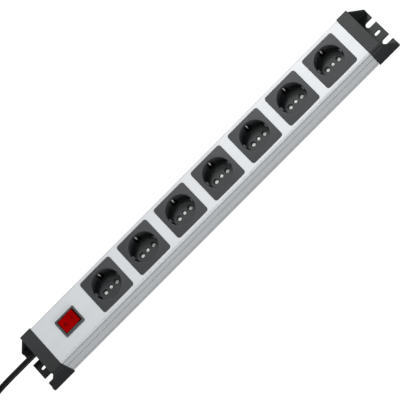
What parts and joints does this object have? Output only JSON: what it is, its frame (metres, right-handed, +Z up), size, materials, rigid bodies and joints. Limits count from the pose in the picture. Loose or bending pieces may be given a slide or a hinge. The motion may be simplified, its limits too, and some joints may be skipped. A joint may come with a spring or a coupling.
{
  "type": "power strip",
  "caption": "Aluminium channel power strip with square socket inserts, a lit rocker switch, slotted end-cap feet and a coiled mains lead with its plug.",
  "frame": {"origin": "middle of the strip on the surface it stands on, without the lead", "axes": "+X along the strip away from the lead, +Y across it towards the side where the lead leaves, +Z up out of the sockets"},
  "size_m": [0.895, 0.1054, 0.0525],
  "materials": {
    "aluminium_satin": "satin anodised, brushed along the strip",
    "steel_plate": "plain rolled sheet",
    "cap_black": "fine textured black moulding",
    "socket_grey": "fine textured anthracite moulding",
    "shutter_white": "smooth white moulding",
    "carrier_beige": "plain moulding",
    "bezel_black": "satin black moulding",
    "rocker_red": "translucent red, glossy",
    "brass_strip": "bright stamped strip",
    "nickel_plate": "nickel plated",
    "zinc_screw": "zinc plated",
    "neon_glass": "clear glass lamp",
    "cord_black": "satin black cable sheath",
    "plug_black": "satin black moulded plug",
    "wire_brown": "wire insulation",
    "wire_blue": "wire insulation",
    "wire_green": "wire insulation",
    "tie_black": "hook and loop strap"
  },
  "bodies": {
    "strip_body": {"housing_profile": "aluminium_satin", "base_plate": "steel_plate", "end_cap_plain": "cap_black", "end_cap_cord": "cap_black", "busbar_live": "brass_strip", "busbar_neutral": "brass_strip", "busbar_earth": "nickel_plate", "contact_tray": "carrier_beige", "switch_frame": "bezel_black", "switch_lamp": "neon_glass", "cord_gland": "bezel_black", "cord_clamp": "carrier_beige", "wire_live_in": "wire_brown", "wire_neutral_in": "wire_blue", "wire_earth": "wire_green", "wire_live_out": "wire_brown", "wire_neutral_out": "wire_blue", "mains_cord_out": "cord_black", "mains_cord_coil": "cord_black", "mains_cord_in": "cord_black", "cord_tie": "tie_black", "plug_body": "plug_black", "cap_screw_1": "zinc_screw", "cap_screw_2": "zinc_screw", "cap_screw_3": "zinc_screw", "cap_screw_4": "zinc_screw", "socket_insert_1": "socket_grey", "socket_insert_2": "socket_grey", "socket_insert_3": "socket_grey", "socket_insert_4": "socket_grey", "socket_insert_5": "socket_grey", "socket_insert_6": "socket_grey", "socket_insert_7": "socket_grey", "terminal_pivot_1": "brass_strip", "terminal_fixed_1": "brass_strip", "clamp_screw_1": "zinc_screw", "plug_pin_1": "nickel_plate", "plug_earth_contact_1": "nickel_plate", "terminal_pivot_2": "brass_strip", "terminal_fixed_2": "brass_strip", "clamp_screw_2": "zinc_screw", "plug_pin_2": "nickel_plate", "plug_earth_contact_2": "nickel_plate"},
    "rocker": {"switch_rocker": "rocker_red", "switch_plunger_1": "nickel_plate", "switch_plunger_2": "nickel_plate"},
    "seesaw_1": {"switch_seesaw_1": "brass_strip"},
    "seesaw_2": {"switch_seesaw_2": "brass_strip"},
    "shutter_body_1": {"shutter_1": "shutter_white"},
    "shutter_body_2": {"shutter_2": "shutter_white"},
    "shutter_body_3": {"shutter_3": "shutter_white"},
    "shutter_body_4": {"shutter_4": "shutter_white"},
    "shutter_body_5": {"shutter_5": "shutter_white"},
    "shutter_body_6": {"shutter_6": "shutter_white"},
    "shutter_body_7": {"shutter_7": "shutter_white"}
  },
  "joints": [
    {"name": "rocker_tilt", "type": "hinge", "parent": "strip_body", "child": "rocker", "pos_m": [-0.228, 0, 0.046], "axis": [0, 1, 0], "range_deg": [0, 16]},
    {"name": "seesaw_1_tilt", "type": "hinge", "parent": "strip_body", "child": "seesaw_1", "pos_m": [-0.228, 0.005, 0.0343], "axis": [0, 1, 0], "range_deg": [-16, 0]},
    {"name": "seesaw_2_tilt", "type": "hinge", "parent": "strip_body", "child": "seesaw_2", "pos_m": [-0.228, -0.005, 0.0343], "axis": [0, 1, 0], "range_deg": [-16, 0]},
    {"name": "shutter_1_turn", "type": "hinge", "parent": "strip_body", "child": "shutter_body_1", "pos_m": [-0.1625, 0, 0.028], "axis": [0, 0, 1], "range_deg": [0, 40], "stiffness_Nm_per_rad": 0.002},
    {"name": "shutter_2_turn", "type": "hinge", "parent": "strip_body", "child": "shutter_body_2", "pos_m": [-0.097, 0, 0.028], "axis": [0, 0, 1], "range_deg": [0, 40], "stiffness_Nm_per_rad": 0.002},
    {"name": "shutter_3_turn", "type": "hinge", "parent": "strip_body", "child": "shutter_body_3", "pos_m": [-0.0315, 0, 0.028], "axis": [0, 0, 1], "range_deg": [0, 40], "stiffness_Nm_per_rad": 0.002},
    {"name": "shutter_4_turn", "type": "hinge", "parent": "strip_body", "child": "shutter_body_4", "pos_m": [0.034, 0, 0.028], "axis": [0, 0, 1], "range_deg": [0, 40], "stiffness_Nm_per_rad": 0.002},
    {"name": "shutter_5_turn", "type": "hinge", "parent": "strip_body", "child": "shutter_body_5", "pos_m": [0.0995, 0, 0.028], "axis": [0, 0, 1], "range_deg": [0, 40], "stiffness_Nm_per_rad": 0.002},
    {"name": "shutter_6_turn", "type": "hinge", "parent": "strip_body", "child": "shutter_body_6", "pos_m": [0.165, 0, 0.028], "axis": [0, 0, 1], "range_deg": [0, 40], "stiffness_Nm_per_rad": 0.002},
    {"name": "shutter_7_turn", "type": "hinge", "parent": "strip_body", "child": "shutter_body_7", "pos_m": [0.2305, 0, 0.028], "axis": [0, 0, 1], "range_deg": [0, 40], "stiffness_Nm_per_rad": 0.002}
  ],
  "couplings": [
    {"joint": "seesaw_1_tilt", "follows": "rocker_tilt", "ratio": -1},
    {"joint": "seesaw_2_tilt", "follows": "rocker_tilt", "ratio": -1}
  ]
}
